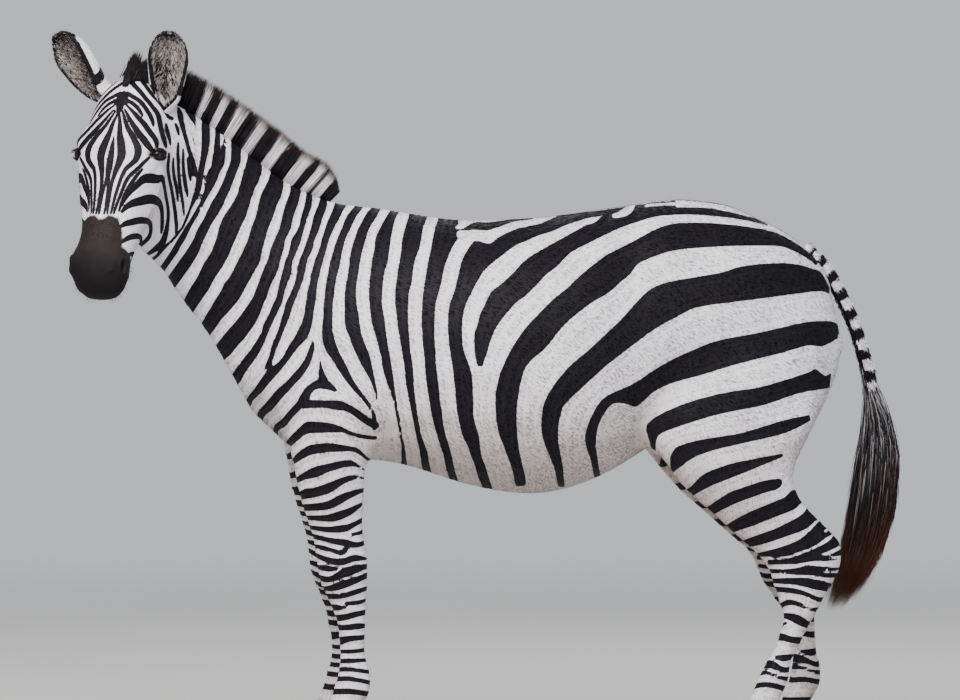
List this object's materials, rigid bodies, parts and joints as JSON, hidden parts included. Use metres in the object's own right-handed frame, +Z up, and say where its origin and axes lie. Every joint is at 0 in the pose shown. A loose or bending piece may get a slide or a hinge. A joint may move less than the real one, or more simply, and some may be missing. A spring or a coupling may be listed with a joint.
{
  "type": "zebra",
  "caption": "Life-size still model of a plains zebra standing on four hooves, its striped body side on and its head turned to its left.",
  "frame": {"origin": "middle of the bounding box's underside, on the floor between the hooves", "axes": "+X from the head end to the tail, +Y towards the animal's right side, +Z up; it faces -X and turns its head towards -Y"},
  "size_m": [1.9506, 0.7026, 1.6712],
  "materials": {
    "coat": "short white coat with black stripes",
    "mane": "upright coarse hair, striped like the neck",
    "hair": "long black tail hair",
    "horn": "dark ridged horn",
    "eye": "wet dark brown eye"
  },
  "bodies": {
    "root": {"head": "coat", "neck": "coat", "trunk": "coat", "foreleg_left": "coat", "foreleg_right": "coat", "hindleg_left": "coat", "hindleg_right": "coat", "ear_left": "coat", "ear_right": "coat", "eye_left": "eye", "eye_right": "eye", "mane": "mane", "tail_dock": "coat", "tail_tuft": "hair", "hoof_foreleg_left": "horn", "hoof_foreleg_right": "horn", "hoof_hindleg_left": "horn", "hoof_hindleg_right": "horn"}
  },
  "joints": []
}
